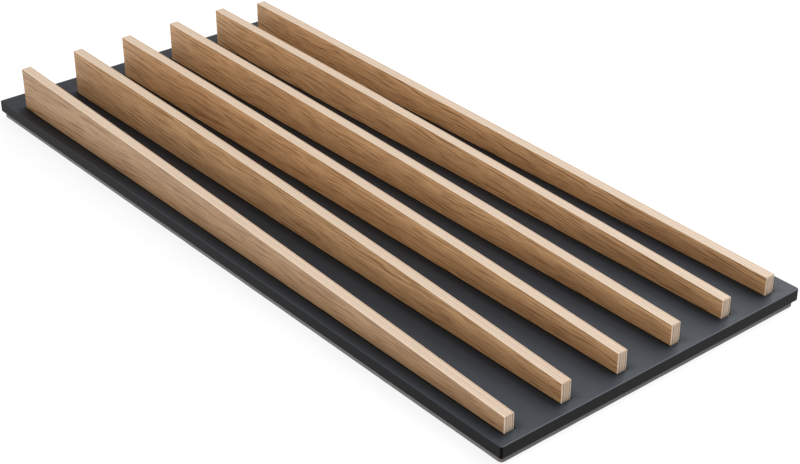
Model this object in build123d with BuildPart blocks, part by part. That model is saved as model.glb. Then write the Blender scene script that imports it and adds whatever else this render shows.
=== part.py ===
from build123d import *

import os

# Acoustic slat wall panel, lying on its back, in millimetres.
# +Z points out of the wall. Y runs along the slats, from their low ends to their tall ends.
# X runs across them.
# The origin is the middle of the felt's back face, which is the face that meets the wall.

# Baseboard
board_width = 540.0
board_length = 1200.0
board_thickness = 18.0
board_corner_radius = 3.5
board_front_arris = 1.5
board_back_arris = 0.8

# Felt backing, set in from the board's edges
felt_thickness = 10.0
felt_inset = 4.0
felt_corner_radius = 6.0

# Plies that a slat is glued up from, and the easing of its bare edges
face_ply = 2.9
core_ply = 3.4
slat_arris = 0.6

# Slats: from the board's edges to the outer slats' centre lines and to the near ends, and the two outer bays
left_margin = 28.5
right_margin = 42.0
near_margin = 18.0
left_bay = 93.0
right_bay = 87.0

# From left to right, each slat's distance from its far end to the board's edge
far_margins = [51.0, 54.0, 45.0, 40.0, 36.0, 36.0]

# From left to right, each slat's height above the board at its near end, its middle and its far end
slat_heights = [
    (23.0, 49.0, 68.0),
    (28.0, 57.5, 74.0),
    (29.0, 54.5, 68.0),
    (29.5, 51.5, 65.0),
    (27.0, 48.5, 62.0),
    (27.0, 40.5, 52.5),
]

# Housings that the slats stand in
housing_depth = 4.0
housing_clearance = 0.2
housing_mouth = 0.6

# A slat's plies from left to right: name, thickness, and the X direction of the bare face, or 0 for none
slat_plies = [
    ("face_left", face_ply, -1),
    ("core_left", core_ply, 0),
    ("core_middle", core_ply, 0),
    ("core_right", core_ply, 0),
    ("face_right", face_ply, 1),
]
slat_thickness = sum(thickness for name, thickness, bare_side in slat_plies)

# Levels in Z, and the ends of the slats in Y
board_back = felt_thickness
board_front = board_back + board_thickness
housing_floor = board_front - housing_depth
near_end = near_margin - board_length / 2
far_ends = [board_length / 2 - margin for margin in far_margins]

# Centre lines of the slats in X: the inner bays share the width that the margins and the outer bays leave
inner_bays = len(slat_heights) - 3
inner_bay = (board_width - left_margin - right_margin - left_bay - right_bay) / inner_bays
bays = [left_bay] + [inner_bay] * inner_bays + [right_bay]
slat_lines = [left_margin - board_width / 2 + sum(bays[:slat]) for slat in range(len(slat_heights))]


def finish(piece, label):
    """Label a finished piece and write it under its own name."""
    piece.part.label = label
    export_step(piece.part, f"parts/{label}.step")


def make_baseboard():
    """Flat board with eased edges and a stopped housing for each slat."""
    with BuildPart() as baseboard:
        with BuildSketch(Plane.XY.offset(board_back)):
            RectangleRounded(board_width, board_length, board_corner_radius)
        extrude(amount=board_thickness)
        fillet(baseboard.faces().sort_by(Axis.Z)[-1].edges(), board_front_arris)
        fillet(baseboard.faces().sort_by(Axis.Z)[0].edges(), board_back_arris)

        with BuildSketch(Plane.XY.offset(board_front)):
            for line, far_end in zip(slat_lines, far_ends):
                housing_length = far_end - near_end + 2 * housing_clearance
                with Locations((line, (near_end + far_end) / 2)):
                    Rectangle(slat_thickness + 2 * housing_clearance, housing_length)
        extrude(amount=-housing_depth, mode=Mode.SUBTRACT)
        front_face = baseboard.faces().filter_by(Plane.XY).sort_by(Axis.Z)[-1]
        chamfer([edge for mouth in front_face.inner_wires() for edge in mouth.edges()], housing_mouth)
    finish(baseboard, "baseboard")


def make_felt_backing():
    """Felt sheet glued to the board's back, a little smaller than the board."""
    with BuildPart() as felt_backing:
        with BuildSketch():
            RectangleRounded(board_width - 2 * felt_inset, board_length - 2 * felt_inset, felt_corner_radius)
        extrude(amount=felt_thickness)
    finish(felt_backing, "felt_backing")


def make_ply(label, left_x, thickness, bare_side, far_end, heights):
    """One ply of a slat, cut to its outline: straight foot, square ends and an arc for the top edge."""
    near_top, middle_top, far_top = [board_front + height for height in heights]
    middle = (near_end + far_end) / 2
    with BuildPart() as ply:
        with BuildSketch(Plane.YZ.offset(left_x)):
            with BuildLine():
                ThreePointArc((near_end, near_top), (middle, middle_top), (far_end, far_top))
                Polyline(
                    (far_end, far_top),
                    (far_end, housing_floor),
                    (near_end, housing_floor),
                    (near_end, near_top),
                )
            make_face()
        extrude(amount=thickness)

        bare_edges = [edge for edge in ply.edges().filter_by(Axis.X) if edge.center().Z > board_front]
        if bare_side:
            bare_face = ply.faces().sort_by(Axis.X)[-1 if bare_side > 0 else 0]
            bare_edges += [edge for edge in bare_face.edges() if edge.center().Z > housing_floor]
        chamfer(bare_edges, slat_arris)
    finish(ply, label)


def make_slat(number, line, far_end, heights):
    """The plies of one slat, glued side by side about its centre line."""
    left_x = line - slat_thickness / 2
    for name, thickness, bare_side in slat_plies:
        make_ply(f"slat_{number}_{name}", left_x, thickness, bare_side, far_end, heights)
        left_x += thickness


os.makedirs("parts", exist_ok=True)
make_baseboard()
make_felt_backing()
for number, (line, far_end, heights) in enumerate(zip(slat_lines, far_ends, slat_heights), start=1):
    make_slat(number, line, far_end, heights)
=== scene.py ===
import math

import bmesh
import bpy
from mathutils import Matrix, Vector, noise


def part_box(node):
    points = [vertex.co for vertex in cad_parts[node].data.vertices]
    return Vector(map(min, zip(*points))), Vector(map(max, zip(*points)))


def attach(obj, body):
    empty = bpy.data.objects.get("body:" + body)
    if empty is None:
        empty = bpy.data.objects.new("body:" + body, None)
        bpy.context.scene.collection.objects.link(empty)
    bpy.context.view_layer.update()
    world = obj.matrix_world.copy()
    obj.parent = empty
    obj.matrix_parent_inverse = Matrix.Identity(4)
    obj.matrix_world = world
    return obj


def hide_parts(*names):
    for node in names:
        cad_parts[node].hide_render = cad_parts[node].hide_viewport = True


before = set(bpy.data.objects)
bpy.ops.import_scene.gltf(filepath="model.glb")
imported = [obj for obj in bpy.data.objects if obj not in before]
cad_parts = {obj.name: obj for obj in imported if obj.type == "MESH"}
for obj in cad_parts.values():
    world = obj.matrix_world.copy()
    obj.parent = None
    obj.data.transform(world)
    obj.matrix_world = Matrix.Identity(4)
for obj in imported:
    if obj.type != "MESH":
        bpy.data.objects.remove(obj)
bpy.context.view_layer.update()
scene = bpy.context.scene

MM = 0.001

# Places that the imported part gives: the felt in metres, and the board's edges and front in millimetres
felt_low, felt_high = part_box("felt_backing")
board_low, board_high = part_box("baseboard")
board_left = board_low.x / MM
board_near = board_low.y / MM
board_far = board_high.y / MM
board_front = board_high.z / MM

# Slats, numbered from left to right, and the one whose outer face shows
slat_numbers = range(1, 7)
outer_slat = 1

# Core plies of a slat from left to right: name, how much darker their grain is, and how strongly the glue
# line shows at their left and at their right, which is less where two cores meet
core_plies = [
    ("left", 0.14, (1.0, 0.5)),
    ("middle", 0.26, (0.5, 0.5)),
    ("right", 0.12, (0.5, 1.0)),
]

# Where the heart of the log lay, for each slat's face veneers: how deep behind the face and how high above
# the board, in millimetres, and how much each changes per millimetre along the slat
heart = {
    1: (90, -30, 0.030, 0.030),
    2: (62, 90, -0.030, 0.055),
    3: (75, -25, 0.026, 0.045),
    4: (58, 80, 0.024, 0.035),
    5: (80, -35, -0.022, 0.040),
    6: (66, 75, 0.030, 0.030),
}

# On the bare faces, width of a growth ring and spacing of the darker veins, in millimetres, and the share
# of each over which its line darkens
ring_width = 2.8
ring_line = 0.65
vein_spacing = 5.2
vein_line = 0.16

# On the top edges and ends, width of a growth ring and distance of the log's heart, in millimetres
edge_ring_width = 0.8
edge_heart = 40

# Glue line on each side of a joint between plies: its width and soft edge in millimetres, and how strongly
# it shows on the ends and on the top edges
glue_line = 0.5
glue_softness = 0.05
glue_on_end = 0.95
glue_on_top = 0.35

# Wood colours: light, rose and dark of the veneers' bare faces, on the outer slat a darker copy of the inner
# one's that paints shade onto its more open face, light and dark of the cores, the lighter and the browner
# light of the veneers' edges, and the glue
inner_veneer = ((0.69, 0.436, 0.228), (0.625, 0.39, 0.205), (0.30, 0.155, 0.064))
outer_veneer_shaded = ((0.455, 0.29, 0.169), (0.41, 0.257, 0.148), (0.228, 0.127, 0.06))
core_light = (0.83, 0.66, 0.505)
core_dark = (0.53, 0.37, 0.25)
pale_edge = (0.87, 0.695, 0.53)
tan_edge = (0.70, 0.51, 0.355)
glue_brown = (0.15, 0.085, 0.045)
wood_gloss = 0.3

# Painted shade that multiplies the wood: at the foot and low end of the bare faces, on the top edges, on the
# ends
foot_shade = (0.82, 0.77, 0.70)
low_end_shade = (0.76, 0.73, 0.72)
top_shade = (0.765, 0.765, 0.765)
end_shade = (0.82, 0.80, 0.80)

# Heights above the board, in millimetres, over which the painted shade fades in or out and the grain's lines
# gain strength
foot_heights = (0, 45)
low_end_heights = (14, 30)
end_heights = (3, 24)
line_heights = (0, 30)

# Places along the board, in millimetres, over which the painted shade at the foot and at the low end fades
# away
foot_reach = (board_near + 400, board_near + 900)
low_end_reach = (board_near + 180, board_near + 420)

# Board colours: the lacquer and its softer black, a painted near-black shade for the sides, a painted
# highlight for the arrises and a painted shadow for the gap at the slats' feet; and two painted shade tints
# that multiply them beside the slats' feet and on the far margins
board_black = (0.0370, 0.0435, 0.0535)
board_soft_black = (0.0470, 0.0545, 0.0665)
board_side_shade = (0.0030, 0.0034, 0.0042)
board_arris_highlight = (0.12, 0.128, 0.14)
gap_shadow_black = (0.001, 0.001, 0.001)
board_foot_shade = (0.45, 0.48, 0.48)
margin_shade = (0.68, 0.62, 0.58)

# Distances from a slat's foot, in millimetres, over which the painted shadow of the dark gap and the painted
# shade round the foot fade: beside the slat, and beyond its ends
gap_shadow_fade = ((2.0, 3.4), (0.6, 1.8))
board_foot_shade_fade = ((5, 20), (0, 12))

# Places on the board, in millimetres, over which the margins' painted shade fades: the left margin's inner
# side, near end and far end, and the far margin's near side, with the strength of the painted shade on the
# far margin
left_margin_side = (board_left + 20, board_left + 34)
left_margin_near = (board_far - 450, board_far - 120)
left_margin_far = (board_far - 72, board_far - 52)
far_margin_near = (board_far - 52, board_far - 28)
far_margin_strength = 0.85

# Felt colours, and the felt's shape: corner radius, soft rim, width of the strips that its edge ripples
# in, and length and height of its long and its short ripples
felt_grey = (0.106, 0.099, 0.094)
felt_pale = (0.150, 0.143, 0.134)
felt_corner = 6 * MM
felt_rim = 1.2 * MM
felt_strip = 10 * MM
felt_ripples = [(22 * MM, 0.5 * MM), (6 * MM, 0.15 * MM)]

# Studio: the floor's radius in metres, its colours and glow, and the glow of the room
floor_radius = 30
floor_grey = (0.18, 0.18, 0.18)
floor_pale = (0.20, 0.20, 0.20)
floor_glow = 0.83
room_glow = 0.45
white = (1, 1, 1, 1)


class Field:
    """A number, colour or point that changes over a surface, as a socket of a finish's nodes."""

    def __init__(self, finish, socket):
        self.finish = finish
        self.socket = socket

    def __add__(self, other):
        return self.finish.math("ADD", self, other)

    def __sub__(self, other):
        return self.finish.math("SUBTRACT", self, other)

    def __rsub__(self, other):
        return self.finish.math("SUBTRACT", other, self)

    def __mul__(self, other):
        return self.finish.math("MULTIPLY", self, other)

    def __truediv__(self, other):
        return self.finish.math("DIVIDE", self, other)

    def __abs__(self):
        return self.finish.math("ABSOLUTE", self)

    __radd__ = __add__
    __rmul__ = __mul__

    def climb(self, start, end):
        """0 up to start and 1 from end, with a smooth climb between them."""
        return self.finish.node(
            "ShaderNodeMapRange",
            {"interpolation_type": "SMOOTHSTEP"},
            {"Value": self, "From Min": start, "From Max": end},
        )

    def fall(self, start, end):
        """1 up to start and 0 from end, with a smooth fall between them."""
        return 1 - self.climb(start, end)

    def lifted(self, floor):
        """A share from 0 to 1, made to start from a floor above 0."""
        return floor + (1 - floor) * self

    def swing(self, amount):
        """A share from 0 to 1, made to swing by an amount round 0."""
        return (self - 0.5) * amount

    def part(self, axis):
        """The X, Y or Z of a point."""
        return self.finish.node("ShaderNodeSeparateXYZ", {}, {"Vector": self}, axis)

    def parts(self):
        """The X, Y and Z of a point."""
        return [self.part(axis) for axis in "XYZ"]


class Finish:
    """A material under construction: one Principled shader and the nodes that vary it."""

    def __init__(self, name):
        self.material = bpy.data.materials.new(name)
        self.material.use_nodes = True
        self.nodes = self.material.node_tree.nodes
        self.links = self.material.node_tree.links
        self.shader = self.nodes["Principled BSDF"]

    def node(self, kind, settings, values, output=0):
        """Adds a node of a kind, sets it up, and gives the field of one of its outputs."""
        node = self.nodes.new(kind)
        for name, value in settings.items():
            setattr(node, name, value)
        for name, value in values.items():
            self.feed(node.inputs[name], value)
        return Field(self, node.outputs[output])

    def feed(self, socket, value):
        """Gives a socket a value, or links a field to it."""
        if isinstance(value, Field):
            self.links.new(value.socket, socket)
        else:
            socket.default_value = value

    def set(self, **values):
        """Sets the shader's sockets by their names, with _ for a space."""
        for name, value in values.items():
            self.feed(self.shader.inputs[name.replace("_", " ")], value)

    def relief(self, height, strength, depth):
        """A bump of a depth in millimetres."""
        values = {"Strength": strength, "Distance": depth * MM, "Height": height}
        self.set(Normal=self.node("ShaderNodeBump", {}, values))

    def math(self, operation, first, second=0.0):
        """One step of arithmetic on numbers and fields."""
        return self.node("ShaderNodeMath", {"operation": operation}, {0: first, 1: second})

    def either(self, first, second):
        """The larger of two shares."""
        return self.math("MAXIMUM", first, second)

    def object_point(self, origin=(0, 0, 0)):
        """The point of the surface in millimetres, measured from an origin in millimetres."""
        place = self.node("ShaderNodeTexCoord", {}, {}, "Object")
        return self.node(
            "ShaderNodeMapping",
            {"vector_type": "POINT"},
            {"Vector": place, "Scale": (1 / MM, 1 / MM, 1 / MM), "Location": [-part for part in origin]},
        )

    def point(self, x, y, z):
        """A point put together from its X, Y and Z."""
        return self.node("ShaderNodeCombineXYZ", {}, {"X": x, "Y": y, "Z": z})

    def facing(self, axis):
        """How far the surface faces along an axis, from -1 to 1."""
        return self.node("ShaderNodeNewGeometry", {}, {}, "True Normal").part(axis)

    def cloud(self, point, size, seed, detail=2.0):
        """Noise from 0 to 1, its blobs of a size in millimetres along each axis."""
        stretched = self.node(
            "ShaderNodeMapping",
            {"vector_type": "POINT"},
            {"Vector": point, "Scale": [1 / part for part in size]},
        )
        return self.node(
            "ShaderNodeTexNoise",
            {"noise_dimensions": "4D"},
            {"Vector": stretched, "W": seed, "Scale": 1.0, "Detail": detail},
        )

    def mix(self, way, share, first, second):
        """Two colours mixed by a share. The sockets go by number, because several have the same name."""
        settings = {"data_type": "RGBA", "blend_type": way}
        return self.node("ShaderNodeMix", settings, {0: share, 6: paint(first), 7: paint(second)}, 2)

    def blend(self, share, first, second):
        """The first colour where the share is 0, the second where it is 1."""
        return self.mix("MIX", share, first, second)

    def tint(self, share, colour, stain):
        """The colour multiplied by a stain where the share is 1."""
        return self.mix("MULTIPLY", share, colour, stain)


def paint(colour):
    """A colour as a socket takes it: a field as it is, and three numbers with a fourth."""
    return colour if isinstance(colour, Field) else (*colour, 1.0)


# Wood


def ring_lines(finish, turns, seed, width):
    """Dark lines of late wood from a count of growth rings, each ring with its own strength."""
    share = finish.math("FRACT", turns)
    ring = finish.math("FLOOR", turns)
    strength = finish.node("ShaderNodeTexWhiteNoise", {"noise_dimensions": "1D"}, {"W": ring + seed})
    darkest, break_off = 0.9, 0.92
    faintest = 0.15
    line = share.climb(darkest - width, darkest) * share.fall(break_off, 1.0)
    return line * strength.lifted(faintest)


def straight_grain(finish, point, seed):
    """Darkness of the fine straight grain on a ply's top edge and ends, about 0 to 1."""
    wander = finish.cloud(point, (9, 260, 500), seed)
    away = point.part("X") + wander * 2.2 + edge_heart
    rings = ring_lines(finish, away / edge_ring_width, seed, ring_line)
    fibres = finish.cloud(point, (0.5, 30, 6), seed + 1, detail=3)
    broad = finish.cloud(point, (20, 180, 60), seed + 2)
    return 0.2 + rings * 0.5 + fibres.swing(0.7) + broad.swing(0.4)


def arched_grain(finish, point, number, bare_side, seed):
    """Wood of a bare face, with long arches where the rings round the log's heart come to the surface.

    Gives its colour, and the rings, fibres and pores in it.
    """
    x, y, z = point.parts()
    heart_depth, heart_height, lean, rise = heart[number]
    wave = finish.cloud(point, (50, 210, 90), seed).swing(26)
    bend = finish.cloud(point, (14, 75, 13), seed + 1).swing(4)
    away = heart_depth + x * bare_side + y * lean
    up = z - heart_height - y * rise + wave + bend
    radius = finish.math("SQRT", away * away + up * up)
    rings = ring_lines(finish, radius / ring_width, seed, ring_line)
    veins = ring_lines(finish, radius / vein_spacing, seed + 8, vein_line)
    strong = finish.cloud(point, (30, 70, 16), seed + 10).climb(0.38, 0.58).lifted(0.35)
    lines = (rings * 0.45 + veins * 0.85) * strong * z.climb(*line_heights).lifted(0.6)

    along = finish.point(x, y, up)
    streaks = finish.cloud(along, (2.2, 150, 2.2), seed + 2)
    fibres = finish.cloud(along, (1.1, 34, 1.1), seed + 3, detail=3)
    broad = finish.cloud(along, (30, 260, 16), seed + 4)
    blush = finish.cloud(along, (30, 190, 24), seed + 5).climb(0.35, 0.65)
    dashes = finish.cloud(along, (1.7, 46, 1.7), seed + 9, detail=1).climb(0.52, 0.60)
    pores = finish.cloud(point, (0.6, 11, 0.6), seed + 6, detail=1).climb(0.6, 0.74)
    tone = 0.1 + lines + dashes * 0.4 + streaks.swing(0.45) + fibres.swing(1.5) + broad.swing(0.25)

    # The outer slat's veneer is a darker copy: painted shade for its more open, more lit face
    light, rose, dark = outer_veneer_shaded if number == outer_slat else inner_veneer
    wood = finish.blend(tone.climb(0.0, 1.0), finish.blend(blush, light, rose), dark)
    wood = finish.blend(pores * 0.35, wood, dark)
    return wood, rings, fibres, pores


def paint_foot_shade(finish, point, number, wood):
    """Paints shade onto a bare face towards its foot and, on all slats but the outer one, towards the low
    end.
    """
    _, y, z = point.parts()
    foot = z.fall(*foot_heights)
    if number != outer_slat:
        foot = foot * y.fall(*foot_reach)
        low_end = y.fall(*low_end_reach) * z.fall(*low_end_heights)
        wood = finish.tint(low_end, wood, low_end_shade)
    return finish.tint(foot, wood, foot_shade)


def edge_wood(finish, point, upward, grain, light):
    """Wood of a ply's top edge and ends: straight grain from light to dark, and painted shade on each, on
    the ends growing towards the top.
    """
    wood = finish.blend(grain.climb(0.0, 1.3), light, core_dark)
    # Painted shade on the top edges, and on the ends growing with height
    wood = finish.tint(upward, wood, top_shade)
    return finish.tint((1 - upward) * point.part("Z").climb(*end_heights), wood, end_shade)


def glue_joint(point, half_thickness, side, upward):
    """The glue line along one side of a ply, fainter on the top edge than on the ends."""
    start = half_thickness - glue_line
    line = (point.part("X") * side).climb(start - glue_softness, start + glue_softness)
    return line * (glue_on_end + (glue_on_top - glue_on_end) * upward)


def ply_point(finish, node):
    """The point on a ply from its middle across the slat and the board's front, and half its thickness."""
    low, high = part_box(node)
    middle = (low.x + high.x) / 2 / MM
    half_thickness = (high.x - low.x) / 2 / MM
    return finish.object_point((middle, 0, board_front)), half_thickness


def facing_up(finish):
    """1 on a ply's top edge, 0 on its sides and ends."""
    return finish.facing("Z").climb(0.3, 0.6)


def face_veneer(node, number, bare_side):
    """Veneer sawn flat: arched grain on its bare face, and straight grain on its narrow edges."""
    finish = Finish(f"veneer of {node}")
    point, half_thickness = ply_point(finish, node)
    seed = number * 7.3 + bare_side * 2.1
    upward = facing_up(finish)

    wood, rings, fibres, pores = arched_grain(finish, point, number, bare_side, seed)
    wood = paint_foot_shade(finish, point, number, wood)
    edge_light = pale_edge if bare_side < 0 else finish.blend(upward, core_light, tan_edge)
    edge = edge_wood(finish, point, upward, straight_grain(finish, point, seed + 7), edge_light)
    bare = abs(finish.facing("X")).climb(0.75, 0.95)
    glue = glue_joint(point, half_thickness, -bare_side, upward)
    finish.set(
        Base_Color=finish.blend(glue, finish.blend(bare, edge, wood), glue_brown),
        Roughness=0.5 + pores * 0.2 + rings * 0.06,
        Specular_IOR_Level=wood_gloss,
    )
    finish.relief(1 - pores * 0.6 - rings * 0.3 + fibres.swing(0.5), strength=0.35, depth=0.12)
    return finish.material


def core_veneer(node, seed, darker, glue_strengths):
    """Veneer inside a slat, of which the top edge and the ends show as fine straight lines."""
    finish = Finish(f"core of {node}")
    point, half_thickness = ply_point(finish, node)
    upward = facing_up(finish)

    grain = straight_grain(finish, point, seed) + darker
    wood = edge_wood(finish, point, upward, grain, core_light)
    left_glue, right_glue = [
        glue_joint(point, half_thickness, side, upward) * strength
        for side, strength in zip((-1, 1), glue_strengths)
    ]
    glue = left_glue + right_glue
    finish.set(
        Base_Color=finish.blend(glue, wood, glue_brown),
        Roughness=0.52 + grain * 0.08,
        Specular_IOR_Level=wood_gloss,
    )
    finish.relief(1 - glue * 0.6 - grain * 0.3, strength=0.3, depth=0.1)
    return finish.material


def dress_slats():
    """Gives each ply of each slat its own veneer."""
    for number in slat_numbers:
        for side, bare_side in (("left", -1), ("right", 1)):
            node = f"slat_{number}_face_{side}"
            give(node, face_veneer(node, number, bare_side))
        for place, (name, darker, glue_strengths) in enumerate(core_plies):
            node = f"slat_{number}_core_{name}"
            seed = number * 5.9 + place * 3.7
            give(node, core_veneer(node, seed, darker, glue_strengths))


def give(node, material):
    """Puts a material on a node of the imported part."""
    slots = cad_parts[node].data.materials
    slots.clear()
    slots.append(material)


# Board


def round_feet(finish, point, fade):
    """1 under and close to the slats, fading over distances beside them and beyond their ends."""
    x, y, _ = point.parts()
    beside_fade, beyond_fade = fade
    near = 0.0
    for number in slat_numbers:
        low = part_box(f"slat_{number}_face_left")[0] / MM
        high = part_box(f"slat_{number}_face_right")[1] / MM
        middle, half_size = (low + high) / 2, (high - low) / 2
        beside = abs(x - middle.x) - half_size.x
        beyond = abs(y - middle.y) - half_size.y
        away = finish.either(beside.climb(*beside_fade), beyond.climb(*beyond_fade))
        near = finish.either(near, 1 - away)
    return near


def shaded_margins(finish, point):
    """Share of painted shade: 1 on the far part of the board's left margin, and on the margin beyond the
    slats' far ends.
    """
    x, y, _ = point.parts()
    left_margin = x.fall(*left_margin_side) * y.climb(*left_margin_near) * y.fall(*left_margin_far)
    far_margin = y.climb(*far_margin_near) * far_margin_strength
    return finish.either(left_margin, far_margin)


def arris_highlight_share(finish):
    """Share of the painted highlight: 1 on the board's rounded front arrises across its two ends, and a
    little along its sides.
    """
    facing_z = finish.facing("Z")
    rounding = facing_z.climb(0.15, 0.45) * facing_z.fall(0.90, 0.985)
    across_end = abs(finish.facing("Y")).climb(0.1, 0.3)
    return rounding * across_end.lifted(0.08)


def board_lacquer():
    """Matte black lacquer with a fine texture, with a painted highlight on its front arrises, and painted
    shade on its sides, its upright corners, round the slats' feet and on the far margins.
    """
    finish = Finish("matte black lacquer")
    point = finish.object_point()
    clouds = finish.cloud(point, (70, 110, 70), 1.0, detail=4)
    grain = finish.cloud(point, (0.8, 0.8, 0.8), 2.0)
    front = finish.facing("Z").climb(0.1, 0.4)
    # Painted shade: near-black on the rounded upright corners, and a painted shadow along the gap round each
    # slat's foot
    corner = abs(finish.facing("X") * finish.facing("Y")).climb(0.15, 0.4)
    dark = finish.either(corner, round_feet(finish, point, gap_shadow_fade))

    lacquer = finish.blend(clouds * 0.7 + grain * 0.3, board_black, board_soft_black)
    # Painted shade: the board's sides near-black
    lacquer = finish.blend(front, board_side_shade, lacquer)
    # Painted shade beside the slats' feet
    lacquer = finish.tint(round_feet(finish, point, board_foot_shade_fade), lacquer, board_foot_shade)
    # Painted shade on the far part of the left margin and on the far margin
    lacquer = finish.tint(shaded_margins(finish, point), lacquer, margin_shade)
    # Painted highlight on the front arrises
    lacquer = finish.blend(arris_highlight_share(finish) * 0.8, lacquer, board_arris_highlight)
    finish.set(
        Base_Color=finish.blend(dark, lacquer, gap_shadow_black),
        Roughness=0.40 + grain * 0.12 + clouds * 0.06 + dark * 0.4,
        Specular_IOR_Level=0.12,
    )
    finish.relief(grain, strength=0.12, depth=0.05)
    return finish.material


# Felt


def felt_sheet():
    """Pressed felt, a rounded rectangle with soft, slightly uneven edges."""
    size = felt_high - felt_low
    shape = bmesh.new()
    bmesh.ops.create_cube(shape, size=1, matrix=Matrix.Diagonal((size.x, size.y, size.z, 1)))
    upright = [edge for edge in shape.edges if abs(edge.verts[0].co.z - edge.verts[1].co.z) > felt_rim]
    round_edges(shape, upright, felt_corner, segments=6)
    rims = [edge for edge in shape.edges if any(abs(face.normal.z) > 0.9 for face in edge.link_faces)]
    round_edges(shape, rims, felt_rim, segments=3)
    for axis in (Vector((1, 0, 0)), Vector((0, 1, 0))):
        cut_strips(shape, axis, size.dot(axis) / 2 - felt_corner)
    ripple_edge(shape, size)
    bmesh.ops.translate(shape, verts=shape.verts, vec=(felt_low + felt_high) / 2)
    return piece_from(shape, "felt_sheet")


def round_edges(shape, edges, radius, segments):
    """Rounds some of a shape's edges."""
    bmesh.ops.bevel(
        shape, geom=edges, offset=radius, segments=segments, profile=0.5, affect="EDGES", material=-1
    )


def cut_strips(shape, axis, reach):
    """Cuts a shape's faces into even strips along an axis, as far as a reach on each side of its middle."""
    strips = int(2 * reach / felt_strip)
    for cut in range(1, strips):
        place = axis * (-reach + cut * 2 * reach / strips)
        everything = shape.verts[:] + shape.edges[:] + shape.faces[:]
        bmesh.ops.bisect_plane(shape, geom=everything, plane_co=place, plane_no=axis)


def ripple_edge(shape, size):
    """Moves the felt's edge outwards by a little that changes along it."""
    edge_start = size * 0.49
    for vert in shape.verts:
        ripple = sum(noise.noise(vert.co / length) * height for length, height in felt_ripples)
        for axis in range(2):
            if abs(vert.co[axis]) > edge_start[axis]:
                vert.co[axis] += math.copysign(ripple, vert.co[axis])


def piece_from(shape, name):
    """Makes a smooth piece from a bmesh."""
    for face in shape.faces:
        face.smooth = True
    mesh = bpy.data.meshes.new(name)
    shape.to_mesh(mesh)
    shape.free()
    piece = bpy.data.objects.new(name, mesh)
    scene.collection.objects.link(piece)
    return piece


def felt_finish():
    """Grey pressed felt: crossed fibres, mottled, with no gloss."""
    finish = Finish("grey pressed felt")
    point = finish.object_point()
    lengthwise = finish.cloud(point, (0.5, 5, 0.5), 1.0, detail=3)
    crosswise = finish.cloud(point, (5, 0.5, 0.5), 2.0, detail=3)
    upright = finish.cloud(point, (0.6, 0.6, 3), 3.0, detail=3)
    mottle = finish.cloud(point, (9, 9, 6), 4.0, detail=3)
    fibres = (lengthwise + crosswise + upright) / 3
    finish.set(
        Base_Color=finish.blend((fibres * 0.6 + mottle * 0.4).climb(0.3, 0.7), felt_grey, felt_pale),
        Roughness=0.9 + fibres * 0.1,
        Sheen_Weight=0.3,
        Specular_IOR_Level=0.15,
    )
    finish.relief(fibres, strength=0.8, depth=0.6)
    return finish.material


# Studio


def floor_finish():
    """Pale matte floor with broad, faint clouds and a glow of its own that keeps shadows light."""
    finish = Finish("pale floor")
    clouds = finish.cloud(finish.object_point(), (400, 400, 400), 1.0, detail=3)
    finish.set(
        Base_Color=finish.blend(clouds, floor_grey, floor_pale),
        Roughness=0.8,
        Specular_IOR_Level=0.1,
        Emission_Color=white,
        Emission_Strength=floor_glow,
    )
    return finish.material


def lay_floor():
    """A wide round floor under the panel."""
    shape = bmesh.new()
    bmesh.ops.create_circle(shape, cap_ends=True, segments=64, radius=floor_radius)
    floor = piece_from(shape, "floor")
    floor.data.materials.append(floor_finish())


def set_camera():
    """The photograph's viewing angle: the camera looks down along the slats from their low ends."""
    lens = 75.17
    place = Vector((-1.3455, -1.7071, 1.2079))
    heading = math.radians(39.827)
    pitch = math.radians(30.117)
    camera = bpy.data.objects.new("camera", bpy.data.cameras.new("camera"))
    camera.data.lens = lens
    camera.data.sensor_width = 36
    camera.location = place
    camera.rotation_euler = (math.pi / 2 - pitch, 0, -heading)
    scene.collection.objects.link(camera)
    scene.camera = camera


def aim_light(name, heading, climb, distance, size, strength):
    """A square soft light that looks at the panel from a heading clockwise from +Y and a climb above it."""
    heading, climb = math.radians(heading), math.radians(climb)
    level = math.cos(climb)
    away = Vector((math.sin(heading) * level, math.cos(heading) * level, math.sin(climb)))
    light = bpy.data.objects.new(name, bpy.data.lights.new(name, "AREA"))
    light.data.shape = "SQUARE"
    light.data.size = size
    light.data.energy = strength
    light.location = away * distance
    light.rotation_euler = (-away).to_track_quat("-Z", "Y").to_euler()
    scene.collection.objects.link(light)


def light_studio():
    """An even white room, with two large soft lights on the panel's right and a weaker one on its left."""
    world = bpy.data.worlds.new("studio")
    world.use_nodes = True
    room = world.node_tree.nodes["Background"]
    room.inputs["Color"].default_value = white
    room.inputs["Strength"].default_value = room_glow
    scene.world = world
    aim_light("key", heading=75, climb=34, distance=9.0, size=6.3, strength=660)
    aim_light("side", heading=118, climb=58, distance=9.0, size=6.3, strength=380)
    aim_light("fill", heading=260, climb=26, distance=6.0, size=4.2, strength=160)


scene.view_settings.view_transform = "Standard"

dress_slats()
give("baseboard", board_lacquer())
felt = felt_sheet()
felt.data.materials.append(felt_finish())
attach(felt, "root")
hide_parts("felt_backing")
lay_floor()
light_studio()
set_camera()
